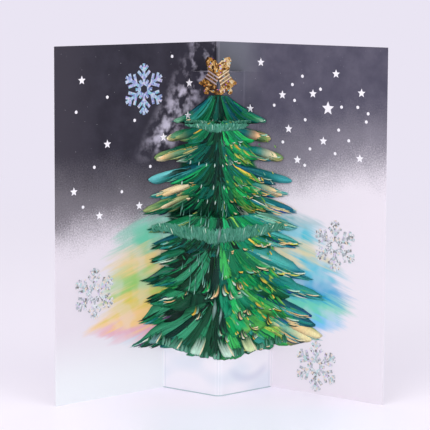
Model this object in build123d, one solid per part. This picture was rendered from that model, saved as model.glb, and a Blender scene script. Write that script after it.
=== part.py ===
"""Pop up card: a folded cover, a printed inner sheet cut and folded into a stepped tree, and a foil topper.

The card stands open on its bottom edges. +Z is up, the viewer looks along +Y, and the spine is at the back.
Print is drawn on the flat sheet, as s (distance from the middle fold, left negative) and z (height), and
then wrapped on the folded sheet. Seen from the front a flat distance s keeps its register on every panel
and tier, because each tier is as wide as its distance from the spine.
"""
from build123d import *
from math import cos, hypot, pi, radians, sin
import os
import random

# Folded card
card_height = 178.0
panel_width = 101.2
panel_swing = 37.3
cover_thickness = 0.40
sheet_thickness = 0.30
spine_flat = 1.6
spine_fold_radius = 0.8

# Stepped pop up: how far each tier's side folds lie from the spine, and how high it is under the bare spine
bottom_tier_reach = 34.5
middle_tier_reach = 25.0
top_tier_reach = 16.0
bare_spine_height = 15.0
top_tier_height = 26.5
middle_tier_height = 47.5
top_tier_head = card_height - bare_spine_height
middle_tier_head = top_tier_head - top_tier_height
bottom_tier_head = middle_tier_head - middle_tier_height
tier_fold_radius = 1.4
ridge_roundness = 0.10

# Ink and foil lie on the sheet in two layers
ink_thickness = 0.06
print_past_edge = 8.0
smallest_fleck = 0.25

# Tree print: foot, crown under the topper, and rows of boughs as shares of its height and half width
tree_foot = 18.6
crown_below_tier_head = 10.5
tree_crown = top_tier_head - crown_below_tier_head
tree_height = tree_crown - tree_foot
tree_half_width = 70.5
crown_half_width = 5.5
crown_curve = 1.7
shoulder_curve = 1.5
crown_overlap = 0.03 * tree_height
shoulder_start = 0.60
bough_tips = [
    (0.892, 0.893), (0.829, 0.830), (0.755, 0.757), (0.677, 0.668), (0.558, 0.539),
    (0.417, 0.447), (0.279, 0.289), (0.160, 0.223), (0.040, 0.085),
]
bough_reaches = [
    (0.426, 0.454), (0.533, 0.525), (0.624, 0.638), (0.695, 0.719), (0.756, 0.763),
    (0.695, 0.858), (0.716, 0.887), (0.766, 0.993), (0.837, 1.000),
]
bough_hems = [0.877, 0.806, 0.724, 0.642, 0.522, 0.429, 0.249, 0.115, 0.0]
tuft_counts = [4, 4, 5, 5, 5, 5, 5, 5, 5]
fan_rise = 0.34 * tree_height
leaf_length = 0.12 * tree_height
leaf_width = 0.62
notch_depth = 5.0
notch_room = 0.45
notch_share = 0.62
hem_scatter = 1.6
leaf_inset = 1.2
print_seed = 7

# Brushed strips of frost under the cuts between the tiers
upper_frost_drop = 0.5
upper_frost_reach = 27.0
upper_frost_rise = 1.2
upper_frost_width = 4.2
lower_frost_drop = 8.0
lower_frost_reach = 47.0
lower_frost_rise = 4.0
lower_frost_width = 7.6
frost_tip_count = 7

# Sky and snow: horizons as shares of the card's height, clouds as (place, half length, half height)
left_horizon = 0.545 * card_height
right_horizon = 0.652 * card_height
dusk_depth = 13.0
horizon_wave = 2.2
cloud_puffs = [
    ((-0.27, 0.843), 5.5, 3.2),
    ((-0.22, 0.921), 4.0, 2.2),
    ((-0.33, 0.792), 4.2, 5.0),
    ((-0.12, 0.961), 4.6, 2.0),
]
cloud_corner_count = 9
cloud_swell = 0.22

# Loose washes beside the tree: reach as a share of the panel, outline as shares of reach and tree height
warm_wash_reach = 0.81
cool_wash_reach = 0.79
wash_outline = [
    (0.25, 0.58), (0.66, 0.55), (0.90, 0.49), (0.82, 0.40), (0.88, 0.30),
    (1.00, 0.20), (1.00, 0.09), (0.82, 0.03), (0.55, 0.01), (0.25, 0.0),
]

# Foil snowflakes: places as shares of the panel's width and the card's height, sizes of the radius
flake_radius = 13.0
flake_arm_count = 6
flake_arm_width = 0.125
flake_hole = 0.17
flake_body = 0.30
flake_stub = 0.40
flake_twigs = [(0.42, 0.40), (0.72, 0.27)]
flake_spots = {
    "upper_left": (-0.471, 0.871),
    "lower_left": (-0.775, 0.303),
    "upper_right": (0.721, 0.435),
    "lower_right": (0.618, 0.081),
}

# Stars and snow dots, placed the same way
star_radius = 2.3
star_inner = 0.45
big_star_radius = 3.6
dot_radius = 0.9
big_star_spot = (0.672, 0.823)
frost_star_place = -0.191 * panel_width
frost_star_clearance = 1.6
star_spots = [
    (-0.848, 0.904), (-0.696, 0.722), (-0.897, 0.596), (-0.500, 0.539), (-0.745, 0.522), (-0.183, 0.882),
    (-0.348, 0.730), (0.270, 0.944), (0.716, 0.921), (0.402, 0.854), (0.583, 0.862),
    (0.863, 0.871), (0.206, 0.809), (0.495, 0.671), (0.858, 0.688), (0.441, 0.758), (0.647, 0.730),
]
dot_spots = [
    (-0.696, 0.854), (-0.882, 0.817), (-0.529, 0.784), (-0.775, 0.660), (-0.431, 0.649), (-0.294, 0.961),
    (0.520, 0.910), (0.461, 0.885), (0.627, 0.876), (0.475, 0.840), (0.353, 0.823), (0.750, 0.829),
    (0.843, 0.831), (0.902, 0.815), (0.892, 0.792), (0.407, 0.719), (0.539, 0.657), (0.539, 0.787),
    (0.735, 0.764), (0.794, 0.736), (0.569, 0.705), (0.716, 0.697), (-0.608, 0.584), (-0.843, 0.551),
]

# Topper: a pair of bells under a bow, cut from foil board and folded with the top tier
topper_thickness = 0.35
bell_height = 13.0
bell_mouth = 12.2
bell_tilt = 27.0
bell_mouth_offset = 7.0
bell_mouth_drop = 9.0
clapper_radius = 1.7
clapper_drop = 1.3
bow_half_width = 8.4
bow_height = 7.6
bow_knot_rise = 0.2
bow_knot_height = top_tier_head + bow_knot_rise
bell_mouth_height = bow_knot_height - bell_mouth_drop
bow_outline = [
    (0.0, 0.55), (0.38, 0.92), (0.86, 1.0), (1.0, 0.74), (0.86, 0.24), (0.76, -0.20), (0.0, -0.26),
]
bell_outline_shares = [
    (1.0, 0.0), (0.97, 0.07), (0.78, 0.20), (0.66, 0.36), (0.60, 0.58), (0.52, 0.80), (0.30, 0.95),
]
bridge_half_width = 3.0
bridge_height = 2.6
bridge_drop = 2.4
rib_shares = (0.36, 0.50, 0.64)
rib_half_length = 0.29 * bell_mouth
rib_width = 0.55
rib_relief = 0.12

swing = radians(panel_swing)
wrap_start = -2.0
wrap_spare = 8.0
wrap_depth = panel_width * sin(swing) + wrap_spare


def plan_corners(reach):
    """Corners of the cover's inner face in plan, from the left edge to the right edge.

    With a reach the sheet leaves the panels at that distance and meets on a ridge towards the viewer.
    """
    half_flat = spine_flat / 2
    along_x = cos(swing)
    along_y = sin(swing)
    outer = (half_flat + panel_width * along_x, -panel_width * along_y)
    if reach is None:
        right = [(half_flat, 0.0), outer]
        left = [(-x, y) for x, y in reversed(right)]
        return left + right
    fold = (half_flat + reach * along_x, -reach * along_y)
    ridge = (0.0, fold[1] - fold[0] * along_y / along_x)
    right = [fold, outer]
    left = [(-x, y) for x, y in reversed(right)]
    return left + [ridge] + right


def plan_line(reach, lift):
    """The folded line that lies the lift in front of the cover's inner face, with rounded folds."""
    corners = plan_corners(reach)
    inner_radius = spine_fold_radius if reach is None else tier_fold_radius
    outer_radius = spine_fold_radius if reach is None else ridge_roundness * reach
    steps = []
    for (x0, y0), (x1, y1) in zip(corners, corners[1:]):
        length = hypot(x1 - x0, y1 - y0)
        steps.append(((x1 - x0) / length, (y1 - y0) / length))
    points = []
    radii = []
    for index, (x, y) in enumerate(corners):
        before = steps[max(index - 1, 0)]
        after = steps[min(index, len(steps) - 1)]
        normal = (before[1] + after[1], -before[0] - after[0])
        scale = 2 * lift / (normal[0] ** 2 + normal[1] ** 2)
        points.append((x + normal[0] * scale, y + normal[1] * scale))
        if 0 < index < len(corners) - 1:
            turn = before[0] * after[1] - before[1] * after[0]
            radii.append(outer_radius + lift if turn > 0 else inner_radius - lift)
    return FilletPolyline(*points, radius=radii)


def band(reach, near, far, foot, head):
    """A folded strip of the given thickness range, from foot to head."""
    near_line = plan_line(reach, near)
    far_line = plan_line(reach, far)
    edges = near_line.edges() + far_line.edges()
    edges += [Line(near_line @ 0, far_line @ 0), Line(near_line @ 1, far_line @ 1)]
    return extrude(Pos(0, 0, foot) * make_face(edges), amount=head - foot, dir=(0, 0, 1))


def tier_levels():
    """Reach, foot and head of each level of the inner sheet, the last one the bare spine."""
    return [
        (bottom_tier_reach, 0.0, bottom_tier_head),
        (middle_tier_reach, bottom_tier_head, middle_tier_head),
        (top_tier_reach, middle_tier_head, top_tier_head),
        (None, top_tier_head, card_height),
    ]


def folded_sheet(near, far):
    """All the levels of the inner sheet as one folded piece."""
    levels = [band(reach, near, far, foot, head) for reach, foot, head in tier_levels()]
    return levels[0].fuse(*levels[1:])


def face_from(points):
    """A flat drawing from points (s, z), foreshortened as it is seen from the front."""
    return make_face(Polyline(*[(s * cos(swing), z) for s, z in points], close=True))


def clean_fields(drawing):
    """The closed fields of a drawing, without flecks left over where outlines nearly meet."""
    return [face for face in drawing.faces() if face.area > smallest_fleck]


def wrap(drawing, skin):
    """Lay a drawing on the folded sheet, as the part of a whole skin of ink or foil that it covers."""
    pieces = []
    for face in clean_fields(drawing):
        prism = extrude(Plane.XZ.offset(wrap_start) * face, amount=wrap_depth - wrap_start)
        common = prism & skin
        if common is not None:
            pieces += [piece for piece in common.solids() if piece.volume > smallest_fleck * ink_thickness]
    return Compound(children=pieces)


def side_sizes(row, side):
    """Reach and tip height of a row on one side."""
    index = 0 if side < 0 else 1
    return row["reach"][index], row["tip"][index]


def shoulder_height(row, side, out):
    """Upper edge of a bough row at a distance from the middle, drooping to the tip."""
    reach, tip = side_sizes(row, side)
    share = min(max((out - row["start"]) / (reach - row["start"]), 0.0), 1.0)
    return tip + (row["crown"] - tip) * (1 - share) ** row["curve"]


def hem_height(row, side, out):
    """Lower edge of a bough row at a distance from the middle, where its leaf tips end."""
    reach, tip = side_sizes(row, side)
    return row["hem"] + (tip - row["hem"]) * (out / reach) ** 2


def half_row(row, side, draw):
    """One side of a bough row: shoulder points out to the tip, then leaf tips and notches back in."""
    reach, tip = side_sizes(row, side)
    shoulder = []
    for share in (0.14, 0.38, 0.7):
        out = row["start"] + (reach - row["start"]) * share
        shoulder.append((side * out, shoulder_height(row, side, out)))
    hem = []
    leaves = row["leaves"]
    for leaf in range(leaves):
        out = reach * (1 - leaf / leaves)
        low = hem_height(row, side, out)
        if leaf > 0:
            low = max(low - draw.uniform(0.0, hem_scatter), tree_foot)
        hem.append((side * out, low))
        out -= notch_share * reach / leaves
        low = max(hem_height(row, side, out), tree_foot)
        room = shoulder_height(row, side, out) - low
        hem.append((side * out, low + min(notch_depth * draw.uniform(0.75, 1.0), notch_room * room)))
    return shoulder, hem


def row_points(row, draw):
    """The whole outline of a bough row."""
    left_shoulder, left_hem = half_row(row, -1, draw)
    right_shoulder, right_hem = half_row(row, 1, draw)
    top = [(-row["start"], row["crown"]), (row["start"], row["crown"])]
    middle = [(0.0, max(row["hem"], tree_foot))]
    return top + right_shoulder + right_hem + middle + list(reversed(left_shoulder + left_hem))


def bough_rows():
    """The rows of boughs from top to bottom, with real heights and reaches.

    Each row but the first starts under the row above, at a share of that row's reach.
    """
    rows = []
    crown = tree_crown
    start = crown_half_width
    curve = crown_curve
    for tips, reaches, hem, tufts in zip(bough_tips, bough_reaches, bough_hems, tuft_counts):
        row = {"crown": crown, "start": start, "curve": curve, "leaves": tufts}
        row["tip"] = [tree_foot + share * tree_height for share in tips]
        row["reach"] = [share * tree_half_width for share in reaches]
        row["hem"] = tree_foot + hem * tree_height
        rows.append(row)
        crown = row["hem"] + crown_overlap
        start = shoulder_start * min(row["reach"])
        curve = shoulder_curve
    return rows


def leaf_points(root, tip, width):
    """A drooping leaf from its root to its tip, bowed downwards."""
    ds = tip[0] - root[0]
    dz = tip[1] - root[1]
    length = hypot(ds, dz)
    ns = -dz / length
    nz = ds / length
    bow = 0.10 * length * (1 if ds > 0 else -1)
    profile = [(0.0, 0.0), (0.6, 0.5), (1.0, 0.0), (0.5, -0.5)]
    points = []
    for share, half in profile:
        lift = half * width + bow * 4 * share * (1 - share)
        points.append((root[0] + ds * share + ns * lift, root[1] + dz * share + nz * lift))
    return points


def leaf_color(side, share, draw):
    """Which ink a leaf takes: warm at the left tips, deep in the middle, bright and cool at the right."""
    chance = draw.random()
    if share < 0.35:
        return "shade" if side < 0 else "emerald"
    if side < 0:
        if share > 0.75:
            return "gold" if chance < 0.55 else "mint"
        return "emerald" if chance < 0.7 else "teal"
    if share > 0.75:
        return "gold" if chance < 0.3 else "teal"
    return "lime" if chance < 0.6 else "mint"


def row_leaves(row, draw):
    """Leaves of one row by ink: they fan from a point above the row and end just inside its leaf tips."""
    leaves = {}
    for side in (-1, 1):
        reach, tip = side_sizes(row, side)
        slot = reach / row["leaves"]
        for leaf in range(row["leaves"]):
            share = 1 - leaf / row["leaves"]
            out = reach * share
            low = max(hem_height(row, side, out), tree_foot)
            far = hypot(out, fan_rise)
            toward = (-out / far, fan_rise / far)
            end = (side * (out + toward[0] * leaf_inset), low + toward[1] * leaf_inset)
            start = (end[0] + side * toward[0] * leaf_length, end[1] + toward[1] * leaf_length)
            outline = leaf_points(start, end, leaf_width * slot * toward[1])
            leaves.setdefault(leaf_color(side, share, draw), []).append(face_from(outline))
    return leaves


def regular_outline(center, outer, inner, tips):
    """A star of the given number of tips, first tip up."""
    points = []
    for corner in range(2 * tips):
        radius = outer if corner % 2 == 0 else inner
        angle = pi * corner / tips
        points.append((center[0] + radius * sin(angle), center[1] + radius * cos(angle)))
    return points


def bar_points(center, angle, start, end, width):
    """A straight bar on a ray from the centre, between two distances."""
    out = (sin(angle), cos(angle))
    across = (cos(angle), -sin(angle))
    corners = [(start, -0.5), (end, -0.5), (end, 0.5), (start, 0.5)]
    points = []
    for far, side in corners:
        s = center[0] + out[0] * far + across[0] * side * width
        points.append((s, center[1] + out[1] * far + across[1] * side * width))
    return points


def on_card(spot):
    """A place on the flat sheet from shares of the panel's width and the card's height."""
    return spot[0] * panel_width, spot[1] * card_height


def snowflake(spot):
    """Six arms with two pairs of twigs each, and a stub between each two, round a hole."""
    center = on_card(spot)
    width = flake_arm_width * flake_radius
    inside = flake_hole * flake_radius
    body = flake_body * flake_radius
    faces = [face_from(regular_outline(center, body, body, flake_arm_count))]
    for arm in range(flake_arm_count):
        angle = 2 * pi * arm / flake_arm_count
        faces.append(face_from(bar_points(center, angle, inside, flake_radius, width)))
        between = angle + pi / flake_arm_count
        faces.append(face_from(bar_points(center, between, inside, flake_stub * flake_radius, width)))
        for start, length in flake_twigs:
            along = start * flake_radius
            knot = (center[0] + along * sin(angle), center[1] + along * cos(angle))
            for lean in (-pi / 4, pi / 4):
                twig = bar_points(knot, angle + lean, 0.0, length * flake_radius, width)
                faces.append(face_from(twig))
    hole = face_from(regular_outline(center, inside, inside, flake_arm_count // 2))
    return Sketch() + faces - hole


def horizon(side, height, draw):
    """A wavy horizon on one panel, from the middle outwards."""
    points = []
    waves = 6
    for step in range(waves + 1):
        s = side * (panel_width + print_past_edge) * step / waves
        points.append((s, height + horizon_wave * draw.uniform(-1.0, 1.0)))
    return points


def sky_face(depth, draw):
    """The night above a horizon that lies the given depth below the sky's own."""
    left = horizon(-1, left_horizon - depth, draw)
    right = horizon(1, right_horizon - depth, draw)
    wide = panel_width + print_past_edge
    top = card_height + print_past_edge
    return face_from(list(reversed(left)) + right + [(wide, top), (-wide, top)])


def cloud_puff(spot, length, height):
    """A soft streak of snow cloud with a lobed outline."""
    center = on_card(spot)
    points = []
    for step in range(cloud_corner_count):
        angle = 2 * pi * step / cloud_corner_count
        swell = 1.0 + cloud_swell * sin(3 * angle + center[0])
        points.append((center[0] + length * swell * cos(angle), center[1] + height * swell * sin(angle)))
    return face_from(points)


def wash_face(side, reach):
    """Loose colour wash that surrounds the lower boughs on one panel."""
    far = side * reach * panel_width
    return face_from([(s * far, tree_foot + z * tree_height) for s, z in wash_outline])


def frost_face(height, reach, rise, width, draw):
    """A brushed strip of frost that dips in the middle, with ragged lower tips."""
    upper = []
    lower = []
    for step in range(-frost_tip_count, frost_tip_count + 1):
        share = step / frost_tip_count
        level = height + rise * share ** 2
        ragged = 0.5 if step % 2 else 0.12
        upper.append((reach * share, level + width * (0.5 - 0.3 * share ** 2)))
        lower.append((reach * share, level - width * ragged - draw.uniform(0.0, 0.4)))
    return face_from(upper + list(reversed(lower)))


def placed(side, mouth_height, tilt, points):
    """Move a bell's outline from its own axis to its tilted place beside the middle fold."""
    angle = radians(tilt) * side
    moved = []
    for w, h in points:
        s = side * bell_mouth_offset + w * cos(angle) - h * sin(angle)
        moved.append((s, mouth_height + w * sin(angle) + h * cos(angle)))
    return moved


def bell_outline():
    """Half widths of a bell from its mouth to its crown, mirrored to a closed outline."""
    half_mouth = bell_mouth / 2
    right = [(half_mouth * w, bell_height * h) for w, h in bell_outline_shares]
    return right + [(0.0, bell_height)] + [(-w, h) for w, h in reversed(right)]


def topper_face():
    """Two bells with clappers under a bow, joined at the middle fold, with a slot between the bells."""
    faces = []
    for side in (-1, 1):
        faces.append(face_from(placed(side, bell_mouth_height, bell_tilt, bell_outline())))
        clapper = placed(side, bell_mouth_height, bell_tilt, [(0.0, -clapper_drop)])[0]
        faces.append(face_from(regular_outline(clapper, clapper_radius, clapper_radius, 4)))
        loop = [(side * s * bow_half_width, bow_knot_height + z * bow_height) for s, z in bow_outline]
        faces.append(face_from(loop))
    foot = bell_mouth_height - bridge_drop
    head = foot + bridge_height
    half = bridge_half_width
    faces.append(face_from([(-half, foot), (half, foot), (half / 2, head), (-half / 2, head)]))
    return Sketch() + faces


def rib_face(share):
    """One raised rib across each bell at a share of its height."""
    low = share * bell_height
    high = low + rib_width
    half = rib_half_length
    rib = [(-half, low), (half, low), (half, high), (-half, high)]
    return Sketch() + [face_from(placed(side, bell_mouth_height, bell_tilt, rib)) for side in (-1, 1)]


def topper():
    """The foil board topper, folded with the top tier and glued over its print, with raised ribs."""
    near = sheet_thickness + 2 * ink_thickness
    foot = bell_mouth_height - bell_height
    head = card_height
    board = band(top_tier_reach, near, near + topper_thickness, foot, head)
    depth = wrap_depth - wrap_start
    body = extrude(Plane.XZ.offset(wrap_start) * topper_face(), amount=depth) & board
    ribs = band(top_tier_reach, near, near + topper_thickness + rib_relief, foot, head)
    for share in rib_shares:
        body += extrude(Plane.XZ.offset(wrap_start) * rib_face(share), amount=depth) & ribs
    return body


def save(name, shape):
    """Move the part so that its box stands centred on the origin, and write one node."""
    shift = (panel_width * sin(swing) - cover_thickness) / 2
    export_step(Pos(0, shift, 0) * shape, f"parts/{name}.step")


def tree_print(draw):
    """Bough rows, each cut by the rows above it, and the leaves on them sorted by ink."""
    visible_rows = []
    inks = {}
    above = None
    for row in bough_rows():
        outline = face_from(row_points(row, draw))
        visible = outline if above is None else outline - above
        visible_rows.append(visible)
        for ink, leaves in row_leaves(row, draw).items():
            for leaf in leaves:
                inks.setdefault(ink, []).append(leaf & visible)
        above = outline if above is None else above + outline
    return visible_rows, inks, above


def main():
    os.makedirs("parts", exist_ok=True)
    draw = random.Random(print_seed)
    save("cover", band(None, -cover_thickness, 0.0, 0.0, card_height))
    save("pop_up_sheet", folded_sheet(0.0, sheet_thickness))
    save("bell_topper", topper())

    fields = folded_sheet(sheet_thickness, sheet_thickness + ink_thickness)
    accents = folded_sheet(sheet_thickness + ink_thickness, sheet_thickness + 2 * ink_thickness)
    visible_rows, inks, tree = tree_print(draw)
    for number, visible in enumerate(visible_rows, 1):
        save(f"print_bough_row_{number}", wrap(visible, fields))

    upper_level = middle_tier_head - upper_frost_drop
    lower_level = bottom_tier_head - lower_frost_drop
    frost_upper = frost_face(upper_level, upper_frost_reach, upper_frost_rise, upper_frost_width, draw)
    frost_lower = frost_face(lower_level, lower_frost_reach, lower_frost_rise, lower_frost_width, draw)
    save("print_frost_upper", wrap(frost_upper, accents))
    save("print_frost_lower", wrap(frost_lower, accents))
    frost_star = (frost_star_place, middle_tier_head + frost_star_clearance + star_radius)
    places = [on_card(spot) for spot in star_spots] + [frost_star]
    small = [regular_outline(place, star_radius, star_inner * star_radius, 5) for place in places]
    big = regular_outline(on_card(big_star_spot), big_star_radius, star_inner * big_star_radius, 5)
    stars = [face_from(outline) for outline in small + [big]]
    dots = [face_from(regular_outline(on_card(spot), dot_radius, dot_radius, 3)) for spot in dot_spots]
    save("print_stars", wrap(Sketch() + stars, accents))
    save("print_snow_dots", wrap(Sketch() + dots, accents))

    bare = Sketch() + stars + frost_upper + frost_lower
    for ink, drawings in inks.items():
        leaves = [face for drawing in drawings if drawing is not None for face in drawing.faces()]
        save(f"print_leaves_{ink}", wrap(Sketch() + leaves - bare, accents))

    warm_wash = wash_face(-1, warm_wash_reach) - tree
    cool_wash = wash_face(1, cool_wash_reach) - tree
    save("print_warm_wash", wrap(warm_wash, fields))
    save("print_cool_wash", wrap(cool_wash, fields))

    clouds = Sketch() + [cloud_puff(*puff) for puff in cloud_puffs] - tree
    night = sky_face(0.0, draw)
    dusk = sky_face(dusk_depth, draw) - night
    save("print_snow_clouds", wrap(clouds, fields))
    save("print_night_sky", wrap(night - tree - clouds, fields))
    save("print_dusk", wrap(dusk - tree - warm_wash - cool_wash, fields))

    for name, spot in flake_spots.items():
        save(f"foil_snowflake_{name}", wrap(snowflake(spot), accents))


if __name__ == "__main__":
    main()
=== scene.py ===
"""Pop up card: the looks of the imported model, with its printed tree painted as thin raised strokes of ink."""
import bpy
import numpy as np
from math import cos, pi, radians, sin, tan
from mathutils import Matrix, Vector


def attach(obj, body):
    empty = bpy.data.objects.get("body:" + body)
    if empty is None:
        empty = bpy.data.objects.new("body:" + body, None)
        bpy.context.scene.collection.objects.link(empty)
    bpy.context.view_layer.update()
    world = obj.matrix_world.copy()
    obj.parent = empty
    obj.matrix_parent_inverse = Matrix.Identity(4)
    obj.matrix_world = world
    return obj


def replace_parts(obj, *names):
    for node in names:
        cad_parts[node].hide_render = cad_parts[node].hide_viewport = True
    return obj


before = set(bpy.data.objects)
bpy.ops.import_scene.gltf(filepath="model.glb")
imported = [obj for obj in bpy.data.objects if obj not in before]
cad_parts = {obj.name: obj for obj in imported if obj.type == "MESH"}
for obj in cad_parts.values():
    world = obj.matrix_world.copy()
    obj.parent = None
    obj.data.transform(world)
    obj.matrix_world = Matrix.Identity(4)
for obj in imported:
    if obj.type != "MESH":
        bpy.data.objects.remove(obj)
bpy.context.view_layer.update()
nodes = {name: bpy.data.objects[name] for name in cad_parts}

# Folded sheet, in millimetres, as the solids have it: each tier is its reach, foot and head
panel_width = 101.2
swing = radians(37.3)
cover_thickness = 0.40
card_height = 178.0
spine_half_flat = 0.8
fold_chamfer = 1.3
ridge_roundness = 0.10
tiers = [(34.5, 0.0, 89.0), (25.0, 89.0, 136.5), (16.0, 136.5, 163.0), (None, 163.0, 178.0)]
depth_shift = (panel_width * sin(swing) - cover_thickness) / 2

# Bells of the topper, whose embossed ribs are drawn in the foil as painted highlights with shaded grooves
bell_tilt = 27.0
bell_height = 13.0
bell_mouth_offset = 7.0
bell_mouth_height = 154.2
rib_shares = (0.36, 0.50, 0.64)
rib_width = 0.55

# How the strokes lie on the sheet and end at its cuts
print_lift = 0.37
row_lift = 0.06
ragged_edge = 2.6
ragged_drop = 1.3
tier_margin = 0.8
card_top_gap = 0.1
tier_foot_gap = 0.002
stroke_relief = 0.025
relief_widths = (0.2, 1.6)
stroke_undercut = 0.02
ridge_lift = 0.18
ridge_lift_width = 2.0
far_out = 999.0

# Layers of paint above the base of their row
blade_layer = 0.02
blade_spacing = 0.012
bristle_layer = 0.05
lobe_layer = 0.05
feather_layer = 0.06
lip_shadow_layer = 0.086
glint_layer = 0.09
lip_layer = 0.095
hair_layer = 0.10
accent_layer = 0.12

# How bright a stroke is on its upper side, crest, lower side and underside
plain_shades = (0.85, 1.0, 1.12, 0.7)
blade_shades = (0.86, 1.0, 1.1, 0.7)
deep_blade_shades = (1.2, 1.0, 0.62, 0.7)
bristle_shades = (0.92, 1.0, 1.06, 0.8)
lobe_shades = (0.9, 1.0, 1.06, 0.8)
feather_shades = (0.94, 1.0, 1.04, 0.85)
pad_shades = (0.97, 1.0, 1.02, 0.9)
pad_edge_shades = (0.9, 1.0, 1.04, 0.8)
glow_shades = (0.95, 1.0, 1.03, 0.85)
hem_shades = (0.94, 1.0, 1.03, 0.85)
frost_shades = (0.98, 1.0, 1.02, 0.95)
star_shades = (1.0, 1.0, 1.0, 1.0)

# Rows of boughs: tip heights and reaches on the left and the right, and the height of the hem in the middle
tree_foot = 18.6
rows = [
    ((138, 138.2), (30, 32), 136),
    ((129.6, 129.7), (37, 37), 126.5),
    ((119.7, 119.9), (43.5, 44), 116),
    ((108.6, 108.4), (48.5, 49), 104.5),
    ((100.5, 101.5), (43, 44.5), 97),
    ((93, 93.5), (50, 50.5), 88.5),
    ((83, 85), (45, 51.5), 80),
    ((74, 76), (44, 52.5), 72),
    ((67, 59), (44, 60.5), 61),
    ((56.5, 50), (49, 69), 50),
    ((47, 39.5), (47, 61.5), 40),
    ((37, 36.5), (53.5, 62), 30),
    ((25, 30.3), (56, 68), 18.6),
]
last_row = len(rows) - 1

# For each row from the top: tufts in half a row, how high, curved and flat its fan of bristles is, how far up
# its strokes begin, how unevenly they end, and how much shorter the bristles at the sides of a tuft are
tufts = [6, 6, 7, 7, 7, 8, 7, 7, 6, 6, 6, 6, 6]
fan_heights = [15, 19, 19, 20, 24, 27, 26, 28, 32, 36, 36, 36, 36]
fan_curves = [1.75, 1.6, 1.5, 1.5, 1.45, 1.4, 1.4, 1.4, 1.5, 1.55, 1.5, 1.45, 1.4]
fan_flat = [0.15, 0.45, 0.45, 0.45, 0.5, 0.5, 0.4, 0.4, 0.4, 0.4, 0.35, 0.3, 0.25]
row_heights = [15, 17, 17, 18, 19, 22, 20, 22, 28, 32, 30, 30, 30]
stray = [0.6, 0.8, 1.2, 1.2, 1.8, 2, 2, 2.5, 3, 3, 3.5, 3, 1.5]
blade_rise = [2.5, 3, 3.5, 3.5, 4, 4.5, 4.5, 5, 6, 7, 7, 7.5, 6]
crown_half_width = 5.5

# Strips of frost: height in the middle, half width, drop at the sides, thickness and number of strokes
frost_upper = (135.8, 21, 1, 3.4, 900)
frost_lower = (82, 42, 2.2, 5.6, 1700)
rows_under_lower_frost = 8
frost_layer = 0.1

# Rows whose left half is painted only near its tip, and how many places a stroke has
short_rows = (8, 10, 11)
short_outer, short_late = 0.72, 0.55
row_steps = 10
accent_steps = 12
frost_steps = 5
draw = np.random.default_rng(11)
vary = draw.uniform


def srgb(red, green, blue):
    """Linear colour from screen values."""
    values = np.array([red, green, blue]) / 255
    return tuple(float(v) for v in np.where(values <= 0.04045, values / 12.92, ((values + 0.055) / 1.055) ** 2.4))


def tones(*colors):
    """Linear colours from screen values."""
    return [srgb(*color) for color in colors]


class Value:
    """A number or a colour in a material, which ordinary arithmetic joins into math nodes."""

    def __init__(self, graph, socket):
        self.graph = graph
        self.socket = socket

    def __add__(self, other):
        return self.graph.math("ADD", self, other)

    def __sub__(self, other):
        return self.graph.math("SUBTRACT", self, other)

    def __rsub__(self, other):
        return self.graph.math("SUBTRACT", other, self)

    def __mul__(self, other):
        return self.graph.math("MULTIPLY", self, other)

    def __truediv__(self, other):
        return self.graph.math("DIVIDE", self, other)

    def __abs__(self):
        return self.graph.math("ABSOLUTE", self)


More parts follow.
